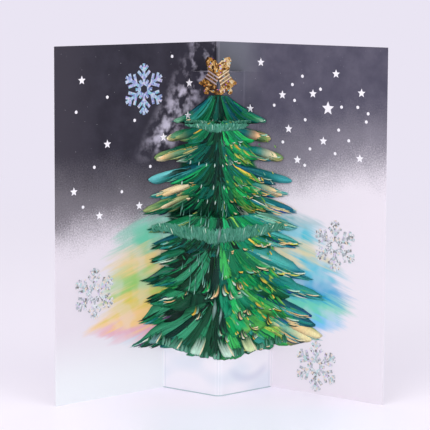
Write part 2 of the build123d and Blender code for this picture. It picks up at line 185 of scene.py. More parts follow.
class Graph:
    """Short names for the nodes of one material."""

    def __init__(self, name):
        self.material = bpy.data.materials.new(name)
        self.material.use_nodes = True
        self.tree = self.material.node_tree
        self.shader = self.tree.nodes["Principled BSDF"]

    def put(self, socket, value):
        if isinstance(value, Value):
            value = value.socket
        if isinstance(value, bpy.types.NodeSocket):
            self.tree.links.new(value, socket)
        elif isinstance(value, tuple) and len(socket.default_value) == 4:
            socket.default_value = (*value, 1.0)
        else:
            socket.default_value = value

    def node(self, kind, *values):
        """A new node of a kind, with values for its first inputs."""
        node = self.tree.nodes.new(f"ShaderNode{kind}")
        for socket, value in zip(node.inputs, values):
            self.put(socket, value)
        return node

    def math(self, operation, a, b=0.0, clamp=False):
        node = self.node("Math", a, b)
        node.operation = operation
        node.use_clamp = clamp
        return Value(self, node.outputs[0])

    def mix(self, share, a, b, blend="MIX"):
        node = self.node("Mix")
        node.data_type = "RGBA"
        node.blend_type = blend
        for number, value in ((0, share), (6, a), (7, b)):
            self.put(node.inputs[number], value)
        return Value(self, node.outputs[2])

    def step(self, value, low, high):
        """Zero at low and one at high, with a soft change between them."""
        node = self.node("MapRange", value, low, high)
        node.interpolation_type = "SMOOTHSTEP"
        return Value(self, node.outputs[0])

    def vector(self, x, y, z):
        return Value(self, self.node("CombineXYZ", x, y, z).outputs[0])

    def noise(self, vector, scale, detail=2.0, roughness=0.5):
        node = self.node("TexNoise")
        for name, value in (("Vector", vector), ("Scale", scale), ("Detail", detail), ("Roughness", roughness)):
            self.put(node.inputs[name], value)
        return Value(self, node.outputs["Fac"])

    def cells(self, vector, size):
        """Three random numbers for each small cell of a pattern."""
        node = self.node("TexVoronoi")
        self.put(node.inputs["Vector"], vector)
        self.put(node.inputs["Scale"], 1 / size)
        return [Value(self, output) for output in self.node("SeparateColor", node.outputs["Color"]).outputs]

    def ramp(self, value, stops, low=0.0, high=1.0, constant=False):
        """Colours along a value: stops are (value, colour) between low and high."""
        span = self.math("DIVIDE", value - low, high - low, clamp=True)
        node = self.node("ValToRGB", span)
        node.color_ramp.interpolation = "CONSTANT" if constant else "EASE"
        elements = node.color_ramp.elements
        while len(elements) < len(stops):
            elements.new(0.5)
        places = [(place - low) / (high - low) for place, _ in stops]
        for element, place in zip(elements, places):
            element.position = place
        for element, place, (_, color) in zip(elements, places, stops):
            element.position = place
            element.color = (*color, 1.0)
        return Value(self, node.outputs[0])

    def curve(self, value, stops, low, high, top):
        """A number along a value, from stops (value, number)."""
        grey = [(place, (number / top,) * 3) for place, number in stops]
        return self.ramp(value, grey, low, high) * top

    def place(self):
        """Flat distance from the middle fold, depth and height in millimetres."""
        x, y, z = self.node("SeparateXYZ", self.node("TexCoord").outputs["Object"]).outputs
        return Value(self, x) * (1000 / cos(swing)), Value(self, y) * 1000, Value(self, z) * 1000

    def facing(self):
        """The surface's own direction."""
        split = self.node("SeparateXYZ", self.node("NewGeometry").outputs["Normal"])
        return [Value(self, output) for output in split.outputs]

    def lay_out(self):
        """Places on the flat sheet: out from the middle fold and up, and whether they are on the right."""
        self.flat, _, self.high = self.place()
        self.out = abs(self.flat)
        self.right = self.step(self.flat, -1.2, 1.2)
        self.spot = self.vector(self.flat, 0.0, self.high)

    def bump(self, height, strength, distance):
        node = self.node("Bump")
        for name, value in (("Strength", strength), ("Distance", distance), ("Height", height)):
            self.put(node.inputs[name], value)
        self.put(self.shader.inputs["Normal"], node.outputs[0])

    def finish(self, color, roughness, metallic=0.0, specular=0.5):
        inputs = ("Base Color", "Roughness", "Metallic", "Specular IOR Level")
        for name, value in zip(inputs, (color, roughness, metallic, specular)):
            self.put(self.shader.inputs[name], value)
        return self.material


def night_sky(g):
    """Dark sky, lighter on the right, with a slanted drift of cloud on the left and a sheen beside the spine."""
    cloudy = g.step(g.noise(g.spot, 0.09, 4, 0.6), 0.25, 0.8)
    left = g.mix(cloudy, srgb(42, 40, 51), srgb(57, 55, 67))
    left = g.mix(g.step(g.flat, -70, -100), left, srgb(60, 57, 67))
    night = g.mix(g.right, left, g.mix(cloudy, srgb(76, 74, 91), srgb(96, 93, 109)))
    drift = 36 - (g.high - 127) * 0.59
    patch = g.step(abs(g.out - drift), 17, 2) * (g.step(g.high, 116, 130) * (1 - g.right))
    mass = g.noise(g.spot, 0.15, 3, 0.45) * 0.75 + g.noise(g.spot, 0.40, 2, 0.4) * 0.25
    thinning = g.step(g.high, 146, 168) * 0.11
    cloud = patch * g.step(mass - thinning, 0.40, 0.63)
    sheen = g.step(g.flat, 34, 8) * (g.right * g.step(g.high, 140, 158))
    sheen = sheen * 0.35 + sheen * (g.step(g.high, 162.9, 163.1) * 0.35)
    night = g.mix(sheen, night, srgb(128, 132, 142))
    return g.mix(cloud * 0.85, night, srgb(210, 205, 224))


def snow_haze(g, night):
    """Pale haze under the night, higher on the right, with a wavy and grainy edge and a few grains of snow; low on the
    left panel it is painted lighter and cooler, as painted light against the shade near the foot.
    """
    haze_foot = g.mix(g.right, (77, 77, 77), g.step(g.out, 44, 84) * 11 + 97)
    wavy = (g.noise(g.spot, 0.035, 3, 0.55) - 0.5) * 22
    grainy = (g.noise(g.spot, 1.3, 3, 0.8) - 0.5) * 34
    level = g.high + wavy + grainy - haze_foot
    dusk = g.step(level, -3, 21) * 0.8 + g.step(level, 16, 48) * 0.2
    pale = g.mix(g.right, srgb(225, 219, 227), srgb(232, 226, 234))
    # Painted light: the haze low on the left panel is lighter and cooler, against the shade near the foot.
    painted_light_low_left = g.step(g.high, 40, 6) * (1 - g.right)
    pale = g.mix(painted_light_low_left, pale, srgb(234, 238, 241))
    snow = g.step(g.noise(g.spot, 1.1, 1, 0.5), 0.76, 0.80)
    return g.mix(dusk, pale, g.mix(snow * 0.55, night, srgb(225, 222, 232)))


def colour_washes(g, sky, strand):
    """Loose washes beside the tree, warm on the left and cool on the right, torn into strands."""
    low, high = 16, 100
    left_edge = g.curve(g.high, [
        (20, 50), (28, 70), (34, 84), (46, 74), (58, 74), (70, 70), (84, 66), (94, 46),
    ], low, high, 100)
    right_edge = g.curve(g.high, [
        (22, 40), (30, 64), (38, 82), (50, 84), (64, 78), (76, 68), (88, 66), (96, 46),
    ], low, high, 100)
    warm_stops = [
        (24, srgb(170, 206, 226)), (31, srgb(226, 172, 186)), (38, srgb(240, 200, 140)), (47, srgb(222, 200, 96)),
        (56, srgb(150, 200, 112)), (68, srgb(228, 204, 140)), (78, srgb(108, 198, 166)), (92, srgb(140, 200, 184)),
    ]
    cool_stops = [
        (26, srgb(150, 176, 240)), (36, srgb(110, 190, 236)), (45, srgb(110, 206, 184)), (53, srgb(44, 160, 206)),
        (64, srgb(80, 190, 214)), (72, srgb(214, 208, 170)), (82, srgb(40, 190, 212)), (92, srgb(56, 164, 170)),
    ]
    inset = g.mix(g.right, left_edge, right_edge) + (strand - 0.5) * 34 - g.out
    drift = g.high + (strand - 0.5) * 26
    wash = g.step(inset, -3, 9) * (g.step(g.high, 22, 32) * g.step(drift, 99, 86))
    depth = g.step(inset, 0, 20) * 0.34 + 0.66
    patchy = g.step(g.noise(g.spot, 0.075, 2, 0.5), 0.38, 0.58) * 0.30 + 0.70
    tint = g.mix(g.right, g.ramp(drift, warm_stops, low, high), g.ramp(drift, cool_stops, low, high))
    return g.mix(wash * patchy * depth, sky, tint)


def tree_undercoat(g, sky, strand):
    """Dark green inside the outline of the tree, brighter on the right."""
    tone = g.step(g.noise(g.vector(g.flat * 0.5, 0, g.high * 0.12), 1, 3, 0.6), 0.3, 0.7)
    left = g.mix(tone, srgb(4, 46, 34), srgb(10, 74, 52))
    right = g.mix(tone, srgb(8, 88, 56), srgb(20, 120, 76))
    low, high = 16, 154
    body_left = g.curve(g.high, [
        (18, 42), (30, 40), (52, 34), (66, 30), (76, 30), (90, 34), (104, 31), (118, 26), (130, 20), (142, 10),
        (152, 4),
    ], low, high, 100)
    body_right = g.curve(g.high, [
        (18, 44), (30, 46), (50, 46), (62, 40), (76, 33), (90, 35), (104, 32), (118, 26), (130, 21), (142, 10),
        (152, 4),
    ], low, high, 100)
    inset = g.mix(g.right, body_left, body_right) - strand * 4 - g.out
    above_hem = g.high - g.out * g.out * 0.0036
    inside = g.step(inset, -1.5, 2) * (g.step(above_hem, 18.3, 18.7) * g.step(g.high, 153.5, 152))
    return g.mix(inside, sky, g.mix(g.step(g.flat, -2, 10), left, right))


def pearly_foot(g, sky):
    """Glossy foot band: a pearly mottle and a curved bluish arc as painted reflections, its fold lines, and a thin dark
    teal line along its bottom edge, partly the film's edge and partly painted contact shadow; also where it is.
    """
    # Painted reflection: a soft pearly mottle over the glossy band.
    glow = g.noise(g.vector(g.flat * 0.05, 0, g.high * 0.09), 1, 0, 0.5)
    pearl = g.mix(g.step(glow, 0.35, 0.65), srgb(236, 234, 241), srgb(221, 226, 236))
    foot = g.step(g.out, 34.9, 34.3) * g.step(g.high, 24, 21)
    sky = g.mix(foot, sky, pearl)
    # Painted reflection: a curved bluish arc low on the band.
    across = (g.flat - 20) / 11
    down = (g.high - 15) / 8
    radius = g.math("SQRT", across * across + down * down)
    painted_reflection = g.step(abs(radius - 1), 0.45, 0) * g.step(g.high, 15, 9)
    sky = g.mix(painted_reflection * foot * 0.5, sky, srgb(192, 198, 218))
    for place, width in ((0.9, 0.35), (33.6, 0.3), (35.4, 0.3)):
        line = g.step(abs(g.out - place), width, 0.1) * g.step(g.high, 21, 18)
        sky = g.mix(line * 0.45, sky, srgb(196, 202, 212))
    # Dark teal line along the bottom edge: partly the film's edge, partly painted contact shadow where it meets the
    # floor.
    rim_and_contact_shadow = g.step(g.out, 35.6, 34.4) * g.step(g.high, 0.7, 0.2)
    return g.mix(rim_and_contact_shadow * 0.8, sky, srgb(120, 160, 160)), foot


def printed_sheet():
    """Night sky over snow haze, loose colour washes beside the tree, a pearly foot, painted shade and highlight along
    the spine fold above the tiers, and plain white edges.
    """
    g = Graph("printed sheet")
    g.lay_out()
    slanted = g.high + g.out * 0.32
    strand = g.noise(g.vector(g.out * 0.03, g.right, slanted * 0.30), 1, 4, 0.6)
    sky = snow_haze(g, night_sky(g))
    sky = tree_undercoat(g, colour_washes(g, sky, strand), strand)
    sky, foot = pearly_foot(g, sky)
    # Painted shade and highlight along the spine fold above the tiers: a dark line on its left and a light one on its
    # right.
    fold_shade_and_highlight = g.step(abs(g.out - 1.1), 0.6, 0.15) * g.step(g.high, 161, 163.5)
    sky = g.mix(fold_shade_and_highlight * 0.8, sky, g.mix(g.right, srgb(38, 36, 44), srgb(142, 140, 152)))

    _, backward, upward = g.facing()
    paper = srgb(240, 238, 243)
    color = g.mix(g.step(backward, 0.1, -0.1), paper, sky)
    top_edge = g.step(abs(upward), 0.6, 0.8) * g.step(g.high, 176, 177)
    return g.finish(g.mix(top_edge, color, paper), 0.5 - foot * 0.30, specular=foot * 0.45 + 0.15)


def brushed_ink():
    """Lacquered paint: the strokes' own colours with fine bristle marks."""
    g = Graph("brushed ink")
    ink = g.node("Attribute")
    ink.attribute_name = "ink"
    flat, _, high = g.place()
    fine = g.noise(g.vector(flat * 2.4, 0, high * 0.5), 1, 3, 0.7)
    shade = g.mix(g.step(fine, 0.25, 0.75), (0.84, 0.84, 0.84), (1.14, 1.14, 1.14))
    return g.finish(g.mix(1, ink.outputs["Color"], shade, "MULTIPLY"), 0.36, specular=0.2)


def glitter(name, stops):
    """Snowflake foil: small facets, each with its own colour and its own tilt."""
    g = Graph(name)
    chance = g.cells(g.vector(*g.place()), 0.95)
    g.bump(chance[1], 0.5, 0.0004)
    return g.finish(g.ramp(chance[0], stops, constant=True), 0.35, metallic=0.2)


def topper_foil():
    """Gold foil board with coarse glitter, painted darker on the left bell as shade, and three embossed ribs across
    each bell drawn as pale painted highlights with painted shade in the grooves beside them.
    """
    g = Graph("gold glitter")
    flat, _, high = g.place()
    spot = g.vector(flat, 0, high)
    right = g.step(flat, -0.4, 0.4)
    coarse = g.cells(spot, 1.25)
    fine = g.cells(spot, 0.5)
    # Painted shade: the glitter runs darker on the left bell than on the right.
    color = g.ramp(coarse[0] * 0.7 + fine[0] * 0.3 + right * 0.20 - 0.06, [
        (0.10, srgb(44, 24, 6)), (0.30, srgb(92, 56, 16)), (0.46, srgb(146, 96, 34)), (0.62, srgb(208, 150, 66)),
        (0.80, srgb(250, 214, 150)), (0.97, srgb(255, 240, 206)),
    ])
    sparks = [(0, srgb(110, 226, 250)), (0.35, srgb(170, 96, 250)), (0.7, srgb(255, 150, 60))]
    color = g.mix(g.step(fine[1], 0.962, 0.97), color, g.ramp(fine[2], sparks, constant=True))
    out = abs(flat)
    tilt = radians(bell_tilt)
    along = (high - bell_mouth_height) * cos(tilt) - (out - bell_mouth_offset) * sin(tilt)
    on_bell = g.step(out, 8.6, 8.2)
    # The embossing as painted light: shaded grooves beside the ribs and pale highlights on them, greyer on the shaded
    # left bell.
    for share in rib_shares:
        near = abs(along - (share * bell_height + rib_width / 2))
        groove_shade = g.step(near, 0.95, 0.7) * on_bell
        rib_highlight = g.step(near, 0.46, 0.30) * on_bell
        color = g.mix(groove_shade * 0.75, color, srgb(84, 54, 20))
        color = g.mix(rib_highlight, color, g.mix(right, srgb(196, 176, 176), srgb(252, 226, 186)))
    g.bump(coarse[1], 0.5, 0.0005)
    return g.finish(color, 0.34, metallic=0.35)


def white_ink_print():
    """White ink with a faint mottle."""
    g = Graph("white ink")
    white = srgb(248, 246, 252)
    tone = g.noise(g.vector(*g.place()), 0.6, 3)
    return g.finish(g.mix(tone, tuple(0.94 * value for value in white), white), 0.5)


def cover_board():
    """White board, with the tree's green on its inner face just below the cuts between the tiers, dark grey above that,
    and light grey near the top tier's cut, which is painted light against the shade in the narrow gap behind it.
    """
    g = Graph("cover board")
    flat, deep, high = g.place()
    tone = g.noise(g.vector(flat, deep, high), 0.6, 3)
    color = g.mix(tone, srgb(231, 229, 237), srgb(239, 237, 244))
    behind_tiers = g.step(abs(flat), 35, 34) * g.step(high, 70, 82) * g.step(g.facing()[1], 0.1, -0.1)
    tree = g.mix(g.step(high, 137.5, 138.5), srgb(16, 92, 66), srgb(78, 76, 90))
    # Painted light: light grey near the top tier's cut, to offset the shade in the narrow gap behind it.
    tree = g.mix(g.step(high, 150, 154), tree, srgb(176, 174, 190))
    return g.finish(g.mix(behind_tiers, color, tree), 0.5)


def surface_depth(x, reach, lift):
    """Depth of the folded sheet at a place seen from the front, the lift in front of the cover's inner face."""
    out = np.abs(x)
    raised = lift / cos(swing)
    if reach is None:
        return np.minimum(-lift, -(out - spine_half_flat) * tan(swing) - raised)
    fold_x = spine_half_flat + reach * cos(swing)
    fold_y = -reach * sin(swing)
    ridge_y = fold_y - fold_x * tan(swing)
    off = np.maximum(np.abs(out - fold_x), fold_chamfer)
    depth = fold_y - off * tan(swing) - raised
    bulge = ridge_roundness * reach + lift
    round_out = ridge_y - raised + bulge / cos(swing) - np.sqrt(np.maximum(bulge**2 - out**2, 0.0))
    return np.where(out < bulge * sin(swing), round_out, depth)


def snap_rings(x, fold_x):
    """Where along a stroke its rings go, so that one lies on each edge of the chamfered fold that it crosses."""
    steps = len(x)
    places = np.arange(steps, dtype=float)
    out = np.abs(x)
    taken = np.full(steps, -1.0)
    for edge in (fold_x - fold_chamfer, fold_x + fold_chamfer):
        side = out > edge
        for low in np.nonzero(side[1:] != side[:-1])[0]:
            cross = low + (edge - out[low]) / (out[low + 1] - out[low])
            near = low if cross - low < 0.5 else low + 1
            if taken[near] >= 0:
                near = low + 1 if near == low else low
            if taken[near] < 0:
                places[near] = cross
                taken[near] = edge
    return places, taken


class Strokes:
    """Strokes of paint, collected as flat paths and laid on the folded sheet as one closed mesh each."""

    def __init__(self):
        self.strokes = []

    def add(self, path, width, color, lift, shades=plain_shades):
        """A stroke along a path. Its colour, and its width unless it is an array, are functions of the way along."""
        t = np.linspace(0, 1, len(path))
        self.strokes.append((path, width(t) if callable(width) else width, color(t), lift, shades))

    def build(self, name, material):
        paths, widths, colors, lifts, shades = (np.array(values) for values in zip(*self.strokes))
        paths[:, :, 0] *= cos(swing)
        colors = colors[:, :, None, :] * shades[:, None, :, None]
        steps = paths.shape[1]
        verts, inks, faces = [], [], []
        count = 0
        block = self.faces_of(steps)
        for reach, foot, head in tiers:
            top = min(head + ragged_edge, card_height - card_top_gap)
            heights = paths[..., 1]
            some = (heights.max(axis=1) > foot + tier_margin) & (heights.min(axis=1) < head - tier_margin)
            if not some.any():
                continue
            line, width, color = paths[some].copy(), widths[some].copy(), colors[some].copy()
            edges = np.full(width.shape, -1.0)
            fold_x = 0.0 if reach is None else spine_half_flat + reach * cos(swing)
            out = np.abs(line[..., 0])
            crossing = (out.min(axis=1) < fold_x + fold_chamfer) & (out.max(axis=1) > fold_x - fold_chamfer)
            for number in np.nonzero(crossing & (reach is not None))[0]:
                places, taken = snap_rings(line[number, :, 0], fold_x)
                old = np.arange(steps)
                for values in (line[number, :, 0], line[number, :, 1], width[number]):
                    values[:] = np.interp(places, old, values.copy())
                edges[number] = taken
            along = np.gradient(line, axis=1)
            along /= np.linalg.norm(along, axis=2, keepdims=True) + 1e-9
            across = np.stack([-along[:, :, 1], along[:, :, 0]], axis=2) * width[:, :, None] / 2
            snapped = edges >= 0
            stretch = 1 / np.maximum(np.abs(along[..., 0]), 0.6)
            hand = np.where(along[..., 0] < 0, -1.0, 1.0)
            upright = np.stack([np.zeros_like(width), hand * width / 2 * stretch], axis=2)
            across = np.where(snapped[..., None], upright, across)
            rings = np.stack([line + across, line, line - across, line], axis=2)
            if reach is not None:
                hand = np.where(line[..., 0] < 0, -1.0, 1.0)[..., None]
                middle = np.abs(line[..., 0])[..., None]
                inner, outer = fold_x - fold_chamfer, fold_x + fold_chamfer
                low = np.where(middle >= outer, outer, np.where(middle >= inner, inner, -far_out))
                high = np.where(middle <= inner, inner, np.where(middle <= outer, outer, far_out))
                rings[..., 0] = hand * np.clip(hand * rings[..., 0], low, high)
            raise_by = np.zeros(rings.shape[:3]) + lifts[some][:, None, None]
            raise_by[:, :, 1] += stroke_relief * np.clip(width, *relief_widths)
            raise_by[:, :, 3] -= stroke_undercut
            x = rings[..., 0]
            ragged = 0.5 + 0.5 * np.sin(2.3 * x + 1.7 * np.sin(0.9 * x))
            z = np.clip(rings[..., 1], foot + tier_foot_gap, top - ragged_drop * ragged)
            lift = raise_by + ridge_lift * np.exp(-((x / ridge_lift_width) ** 2))
            y = surface_depth(x, reach, lift) + depth_shift
            verts.append(np.stack([x, y, z], axis=3).reshape(-1, 3))
            inks.append(color.reshape(-1, 3))
            for _ in range(int(some.sum())):
                faces.append(block + count)
                count += steps * 4
        verts = np.concatenate(verts) / 1000
        inks = np.concatenate(inks)
        faces = np.concatenate(faces)
        mesh = bpy.data.meshes.new(name)
        mesh.from_pydata(verts.tolist(), [], faces.tolist())
        mesh.polygons.foreach_set("use_smooth", np.ones(len(mesh.polygons), bool))
        layer = mesh.attributes.new("ink", "FLOAT_COLOR", "POINT")
        layer.data.foreach_set("color", np.hstack([inks, np.ones((len(inks), 1))]).astype(np.float32).ravel())
        piece = bpy.data.objects.new(name, mesh)
        bpy.context.collection.objects.link(piece)
        piece.data.materials.append(material)
        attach(piece, "root")
        return piece

    @staticmethod
    def faces_of(steps):
        """Four-sided faces of one stroke, as a closed skin over rings of four."""
        faces = []
        for ring in range(steps - 1):
            low = 4 * ring
            high = low + 4
            for a, b in ((0, 1), (1, 2), (2, 3), (3, 0)):
                faces.append((low + a, low + b, high + b, high + a))
        last = 4 * (steps - 1)
        faces.append((3, 2, 1, 0))
        faces.append((last, last + 1, last + 2, last + 3))
        return np.array(faces)


def half_reach(index, side):
    """How far a row reaches on one side."""
    return rows[index][1][0 if side < 0 else 1]


def flow(index, side, share, along, rise=0.0):
    """Places on the path of a bristle that fans out under its row, up to its end at the hem (along = 1)."""
    tips, _, hem = rows[index]
    reach, tip = half_reach(index, side), tips[0 if side < 0 else 1]
    end = hem + (tip - hem) * share**2 + rise
    start = crown_half_width if index == 0 else 0.0
    s = side * share * (start + (reach - start) * along)
    height = fan_heights[index] * (1 - fan_flat[index] * share**2)
    z = end + height * np.maximum(1 - along, 0.0) ** fan_curves[index]
    return s, np.where(along > 1, end - (along - 1) * 0.3 * height, z)


# Inks
dark_greens = tones((4, 42, 30), (6, 58, 40), (10, 76, 50), (4, 50, 42))
emeralds = tones((12, 96, 62), (14, 116, 74), (22, 132, 84), (10, 100, 84))
brights = tones((14, 150, 90), (30, 174, 104), (60, 184, 92), (20, 142, 102))
limes = tones((96, 186, 84), (140, 198, 84), (182, 210, 92), (70, 170, 82), (52, 160, 92))
teals = tones((12, 110, 108), (24, 134, 126), (14, 90, 104), (50, 152, 136))
seas = tones((24, 134, 126), (42, 152, 142), (18, 118, 122), (72, 172, 166))
blade_greens = tones((40, 140, 98), (54, 152, 112), (24, 116, 82))
cyans = tones((64, 176, 180), (36, 138, 158), (112, 202, 204), (26, 112, 138))
olives = tones((120, 150, 92), (150, 170, 110), (96, 150, 112), (176, 172, 112))
peaches = tones((246, 214, 160), (250, 226, 184), (242, 198, 142), (248, 232, 190))
golds = tones((244, 210, 84), (238, 196, 76), (226, 226, 104))
mints = tones((158, 214, 188), (192, 232, 210), (124, 194, 170), (220, 240, 220))
dark_ink = srgb(10, 60, 46)
white_ink = srgb(226, 240, 232)

# Loose marks: places out and up, sizes, and how many there are
star_spots = [(-19.3, 140.4), (20.9, 144)]
star_ink = srgb(240, 238, 246)
drip_count = 26
fleck_count = 150
hem_count = 90
glow_patches = [
    (23, 59, 11, 6, 34), (16, 104, 8, 8, 26), (12, 124, 8, 5, 16),
    (31, 44, 11, 5, 18),
]
curls = [
    (-21, 50, 2.2), (-8.6, 52.5, 4.4), (-6.6, 50, 2.6), (-3.2, 50.4, 4.2), (5, 52, 3.8),
    (8.6, 49.6, 2.8), (14, 54, 3), (-15, 40.5, 3.4), (-13, 38.5, 2.6), (1.6, 31.5, 2.4),
    (14.5, 38, 3), (20.5, 40.5, 2.4), (5.5, 27.5, 2.4), (17.5, 28.5, 2.8), (24, 27, 2.2), (33, 33, 3.2),
]
# Pale creases on the lowest ridge, partly whitened fold and partly painted highlight: place out and up, length and
# width
ridge_creases_and_highlights = [(0.3, 87.5, 9, 1.3), (-0.5, 78, 7, 0.9), (-2.6, 50, 11, 2), (1.4, 46, 9, 1.3)]
foot_pads = [
    (-13, 10.5, 4.8, srgb(192, 234, 212)), (4.5, 10, 4.8, srgb(204, 238, 216)),
    (19.5, 9.5, 5.2, srgb(216, 236, 176)), (-27, 6.5, 4, srgb(84, 150, 126)),
    (-40, 5.5, 3.4, srgb(110, 160, 158)),
]
violets = tones((70, 60, 110), (96, 76, 150), (110, 70, 120))
navies = tones((20, 52, 110), (24, 70, 130), (40, 90, 160))
luminous = tones((4, 160, 84), (0, 180, 94), (36, 200, 104), (10, 142, 80))
light_flecks = [(4, limes), (0.8, golds), (1, mints)]
dark_flecks = [(3, emeralds), (3, dark_greens), (0.5, brights)]
glow_inks = [(4, limes), (0.7, golds), (2.4, luminous), (0.4, mints)]
curl_inks = [(2, peaches), (2, mints), (1, golds), (1.4, luminous)]
hem_inks = [(1, tones((66, 140, 112), (96, 164, 138), (44, 118, 88), (120, 182, 158)))]
pad_strokes = 7
curl_strokes = 5
star_points = 5
star_reach = 2.2
accent_t = np.linspace(0, 1, accent_steps)

# Which rows are painted how, and how densely
undercoat_density = 1.6
last_smooth_row = 3
lobed_rows = 6
last_upper_row = 7
glint_rows = (2, 3, 4, 8)
lobe_count = 5
lobe_hairs = 5
feather_count = 30
pale_ink = 0.6


def choose(groups):
    """A colour from weighted groups of colours."""
    weights = np.array([weight for weight, _ in groups])
    group = groups[draw.choice(len(groups), p=weights / weights.sum())][1]
    return np.array(group[draw.integers(len(group))])


def ink_groups(index, side, share):
    """Which colours a bristle may take by its row and its place across the row."""
    if index == 0:
        if share < 0.3:
            return [(3, dark_greens), (3, emeralds)]
        if side < 0:
            return [(1, dark_greens), (5, emeralds), (2, teals)]
        return [(5, emeralds), (3, teals), (0.8, brights)]
    if side < 0:
        if share < 0.32:
            return [(6, dark_greens), (1.2, emeralds)]
        if index in (1, 2) and share > 0.66:
            return [(2.6, olives), (0.25, golds), (3.4, emeralds)]
        if index == 3 and share > 0.6:
            return [(3, cyans), (3, teals), (1, dark_greens)]
        if index in (4, 5) and share > 0.72:
            return [(3, olives), (2, emeralds), (1, peaches)]
        if share < 0.66:
            return [(3.6, dark_greens), (5, emeralds), (0.5, brights)]
        if index > 6:
            return [(4, dark_greens), (4, emeralds), (1.2, brights), (0.6, teals)]
        return [(4, emeralds), (2, olives), (1.0, mints)]
    if share < 0.07:
        return [(5, dark_greens), (2, emeralds)]
    if share < 0.36:
        glow = 4.6 if index in (1, 2, 4, 5, 8) else 2.2
        return [(4, emeralds), (3.2, brights), (0.8, dark_greens), (glow, luminous), (0.2 * glow, limes)]
    if share < 0.70:
        gold = 0.25 if index > 3 else 0.1
        return [(1.6, limes), (2.4, brights), (3.0, emeralds), (2.0, luminous), (1.4, teals), (gold, golds)]
    if index in (1, 2):
        return [(3, teals), (2, emeralds), (2, olives)]
    if index == last_row:
        return [(4, peaches), (1.5, mints), (1, limes)]
    if index in (10, 11):
        pale = tones((196, 216, 134), (216, 224, 152))
        return [(2, limes), (1.5, brights), (2, teals), (1.6, peaches), (1.6, pale)]
    if index > 5:
        return [(5, seas), (1.2, emeralds), (1.0 if index in (6, 9) else 0.3, cyans), (0.5, mints)]
    if index == 3:
        return [(4, teals), (2.0, cyans), (1.2, emeralds)]
    return [(4, teals), (1.6, cyans), (1.6, emeralds), (0.6, mints)]


def tip_groups(index, side, share):
    """Which colours a bristle may end in."""
    if index == 0:
        return [(3, teals), (2.4, mints), (2, emeralds), (1.2, olives)]
    if side < 0:
        if share < 0.5:
            return [(4, emeralds), (1.4, teals), (0.3, mints)]
        if index > 10:
            return [(3, emeralds), (3, teals), (0.5, violets), (1.4, mints)]
        if index > 6:
            return [(3, emeralds), (2, teals), (0.8, violets), (1.2, mints)]
        if index == 3:
            return [(3, cyans), (2, mints)]
        return [(1.6, peaches), (0.4, golds), (1.6, mints), (2, olives)]
    if share < 0.30:
        return [(3, brights), (1, mints), (0.8, limes)]
    if share < 0.70:
        return [(3, limes), (1.2, golds), (1, mints), (1, peaches), (1, emeralds)]
    if index == last_row:
        return [(4, peaches), (0.25, violets), (1, mints)]
    if index in (8, 9, 10):
        return [(0.7, navies), (2, cyans), (3, seas), (1.6, peaches)]
    return [(2, peaches), (2.4, cyans), (1, mints), (0.5, violets)]


def lobe_groups(index, side):
    """Which pale colours the rounded ends of the upper rows take."""
    if index == 0:
        return [(1, tones((84, 150, 118), (120, 178, 146), (62, 136, 112)))]
    if index == last_row:
        return [(1, tones((250, 214, 164), (246, 190, 156), (240, 226, 170)))]
    if index == 3:
        return [(1, tones((64, 164, 170), (104, 190, 194), (84, 170, 172)))]
    if side < 0:
        return [(2.4, peaches), (4, olives)]
    if index == 1:
        return [(3, tones((240, 190, 140), (236, 176, 140))), (2, olives)]
    return [(3, olives), (2, peaches), (1, cyans)]


def taper(width, point=3.0):
    """Widths along a stroke: a thin start, a full middle and a pointed end."""
    return lambda t: width * np.minimum(1.0, t * 2.5 + 0.3) * np.clip((1 - t) * point + 0.05, 0.05, 1.0)


def begin_of(index, depth):
    """How far along its path a bristle lies the given depth above its end."""
    return 1 - min(depth / fan_heights[index], 1.0) ** (1 / fan_curves[index])


def tuft_places(index):
    """Uneven tufts across half a row: (middle, half width) as shares of the reach, from the tip inwards."""
    widths = vary(0.6, 1.4, tufts[index] + 1)
    edges = np.concatenate([[1.0], 1 - np.cumsum(widths) / widths.sum()])
    return [((low + high) / 2, (high - low) / 2) for high, low in zip(edges, edges[1:])]


def route(s, z):
    """A path from distances out from the middle fold and heights."""
    return np.stack([s, z], axis=1)


def bent(s, z, side, hook):
    """A path with its last part swept outwards."""
    t = np.linspace(0, 1, len(s))
    return route(s + side * hook * np.clip(t - 0.55, 0, None) ** 2, np.maximum(z, tree_foot + 0.2))


def gradient(colors, places=None):
    """Colours along a stroke, from a few at places that are even unless they are given."""
    places = np.linspace(0, 1, len(colors)) if places is None else places
    return lambda t: np.stack([np.interp(t, places, [color[k] for color in colors]) for k in range(3)], axis=1)


def crowded(steps):
    """Places along a stroke, closer together towards its end."""
    return 1 - (1 - np.linspace(0, 1, steps)) ** 1.8


def blunt(t, start):
    """A half round end, for widths that shrink from a place along a stroke."""
    return np.sqrt(np.clip(1 - ((t - start) / (1 - start)).clip(0, 1) ** 2, 0.02, 1))


def rounded(width):
    """Widths along a stroke with a thin start and a rounded end."""
    return lambda t: width * np.minimum(1.0, 0.25 + 1.6 * t) * blunt(t, 0.72)


def add_lip(strokes, index, side, share, stop, base):
    """A pale lip of paint along the end of a blade that flicks up, with a dark line under it."""
    size = vary(1.2, 3.0) * (1.25 if index > 6 else 0.85)
    s, z = flow(index, side, min(share, 1.0), np.linspace(stop - vary(0.08, 0.22), stop, row_steps))
    t = np.linspace(0, 1, row_steps)
    s = s + side * size * 0.3 * t**2
    z = z + size * (0.45 * t**3 - 0.1) + vary(-0.8, 1.6)
    lip = route(s, np.maximum(z, tree_foot + 0.3))
    bright = choose([(3, peaches), (1.4, mints), (0.7, golds)]) * 1.02
    root = choose(ink_groups(index, side, min(share, 1.0)))
    wide = vary(0.22, 0.5) * size
    middle = vary(0.2, 0.5)
    width = rounded(wide)
    strokes.add(lip - [side * 0.2, 0.3], width, gradient([dark_ink]), base + lip_shadow_layer)
    color = gradient([root, bright * 0.88, bright, bright], [0, middle, 0.7, 1])
    strokes.add(lip, width, color, base + lip_layer)


